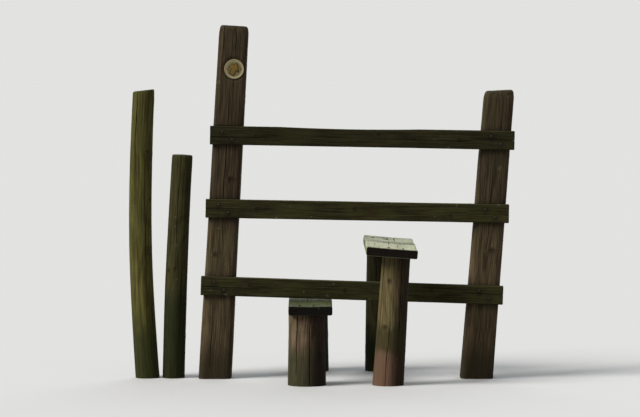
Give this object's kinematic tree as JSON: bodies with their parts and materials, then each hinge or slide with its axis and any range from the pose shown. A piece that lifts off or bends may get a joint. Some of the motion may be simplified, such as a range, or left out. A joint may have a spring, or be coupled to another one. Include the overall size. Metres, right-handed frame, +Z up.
{
  "type": "step stile",
  "caption": "Timber step stile: treads on log legs pass through a post-and-rail barrier beside a tall waymark post, with round guard posts at its side.",
  "frame": {"origin": "middle of the waymark post's foot, at the ground", "axes": "+X along the fence from the waymark post to the right post, +Y through the fence to its far side, +Z up; the rails are on the -Y faces of the posts"},
  "size_m": [1.7904, 0.86, 1.6434],
  "materials": {
    "post_timber": "weathered",
    "rail_timber": "weathered",
    "tread_timber": "worn",
    "log_timber": "weathered",
    "guard_timber": "weathered",
    "waymark_plastic": "faded"
  },
  "bodies": {
    "root": {"waymark_post": "post_timber", "right_post": "post_timber", "top_rail": "rail_timber", "middle_rail": "rail_timber", "bottom_rail": "rail_timber", "lower_tread": "tread_timber", "lower_near_leg": "log_timber", "lower_far_leg": "log_timber", "upper_tread": "tread_timber", "upper_near_leg": "log_timber", "upper_far_leg": "log_timber", "tall_guard_post": "guard_timber", "short_guard_post": "guard_timber", "waymark_disc": "waymark_plastic"}
  },
  "joints": []
}
